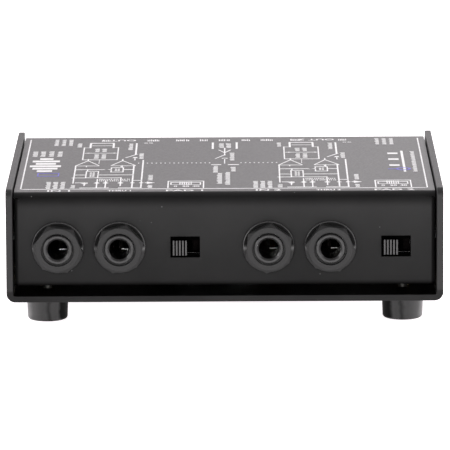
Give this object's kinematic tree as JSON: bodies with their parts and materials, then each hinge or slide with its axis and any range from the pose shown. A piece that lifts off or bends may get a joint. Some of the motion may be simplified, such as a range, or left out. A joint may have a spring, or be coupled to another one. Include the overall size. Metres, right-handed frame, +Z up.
{
  "type": "direct injection box",
  "caption": "Flat black metal audio box with jacks and slide switches in front, cable connectors behind, a printed block diagram on top and rubber feet.",
  "frame": {"origin": "under the middle of the outline, on the surface that the feet stand on", "axes": "+X to the right seen from the front, +Y towards the back, +Z up; the jacks face -Y"},
  "size_m": [0.1396, 0.1164, 0.0444],
  "materials": {
    "base_coat": "fine-textured black powder coat",
    "cover_paint": "satin black paint",
    "print_ink": "thin white screen print",
    "accent_ink": "thin blue screen print",
    "black_screw": "black-finished steel",
    "zinc_screw": "zinc-plated steel",
    "foot_rubber": "moulded black rubber",
    "jack_plastic": "moulded black nylon",
    "nut_plastic": "moulded black nylon with a soft gloss",
    "contact_metal": "tin-plated spring strip",
    "shell_steel": "pressed steel, lacquered black",
    "switch_insulator": "dark phenolic",
    "knob_plastic": "moulded black plastic",
    "tinned_terminal": "tinned terminals",
    "xlr_black": "moulded black shell",
    "xlr_silver": "silver-plated pins",
    "board_laminate": "green solder mask",
    "post_brass": "plated brass",
    "clip_steel": "spring steel",
    "battery_jacket": "printed steel jacket",
    "snap_plastic": "moulded black plastic",
    "lead_insulation": "insulated lead",
    "capacitor_sleeve": "shrink sleeve on aluminium",
    "film_case": "moulded case",
    "chip_epoxy": "black epoxy",
    "resistor_coat": "lacquered body",
    "diode_body": "small glass body"
  },
  "bodies": {
    "root": {"base_chassis": "base_coat", "battery_9v": "battery_jacket", "battery_clip": "clip_steel", "battery_leads": "lead_insulation", "battery_snap_connector": "snap_plastic", "clip_screws": "zinc_screw", "cover_screws": "black_screw", "diodes": "diode_body", "electrolytic_capacitors": "capacitor_sleeve", "film_capacitors": "film_case", "foot_front_left": "foot_rubber", "foot_front_right": "foot_rubber", "foot_rear_left": "foot_rubber", "foot_rear_right": "foot_rubber", "foot_screws": "zinc_screw", "ic_packages": "chip_epoxy", "jack_contacts_input_1": "contact_metal", "jack_contacts_input_2": "contact_metal", "jack_contacts_thru_1": "contact_metal", "jack_contacts_thru_2": "contact_metal", "jack_housing_input_1": "jack_plastic", "jack_housing_input_2": "jack_plastic", "jack_housing_thru_1": "jack_plastic", "jack_housing_thru_2": "jack_plastic", "jack_nut_input_1": "nut_plastic", "jack_nut_input_2": "nut_plastic", "jack_nut_thru_1": "nut_plastic", "jack_nut_thru_2": "nut_plastic", "main_pcb": "board_laminate", "pcb_screws": "zinc_screw", "pcb_standoffs": "post_brass", "resistors": "resistor_coat", "switch_base_ground_lift_1": "switch_insulator", "switch_base_ground_lift_2": "switch_insulator", "switch_base_pad_1": "switch_insulator", "switch_base_pad_2": "switch_insulator", "switch_base_power": "switch_insulator", "switch_frame_ground_lift_1": "shell_steel", "switch_frame_ground_lift_2": "shell_steel", "switch_frame_pad_1": "shell_steel", "switch_frame_pad_2": "shell_steel", "switch_frame_power": "shell_steel", "switch_terminals": "tinned_terminal", "top_cover": "cover_paint", "xlr_contacts_1": "xlr_silver", "xlr_contacts_2": "xlr_silver", "xlr_housing_1": "xlr_black", "xlr_housing_2": "xlr_black", "xlr_screws": "black_screw"},
    "pad_1_knob": {"switch_slider_pad_1": "knob_plastic"},
    "pad_2_knob": {"switch_slider_pad_2": "knob_plastic"},
    "ground_lift_1_knob": {"switch_slider_ground_lift_1": "knob_plastic"},
    "ground_lift_2_knob": {"switch_slider_ground_lift_2": "knob_plastic"},
    "power_knob": {"switch_slider_power": "knob_plastic"}
  },
  "joints": [
    {"name": "pad_1_slide", "type": "slide", "parent": "root", "child": "pad_1_knob", "axis": [1, 0, 0], "range_m": [0, 0.004]},
    {"name": "pad_2_slide", "type": "slide", "parent": "root", "child": "pad_2_knob", "axis": [1, 0, 0], "range_m": [0, 0.004]},
    {"name": "ground_lift_1_slide", "type": "slide", "parent": "root", "child": "ground_lift_1_knob", "axis": [1, 0, 0], "range_m": [0, 0.002]},
    {"name": "ground_lift_2_slide", "type": "slide", "parent": "root", "child": "ground_lift_2_knob", "axis": [1, 0, 0], "range_m": [0, 0.002]},
    {"name": "power_slide", "type": "slide", "parent": "root", "child": "power_knob", "axis": [1, 0, 0], "range_m": [0, 0.002]}
  ]
}
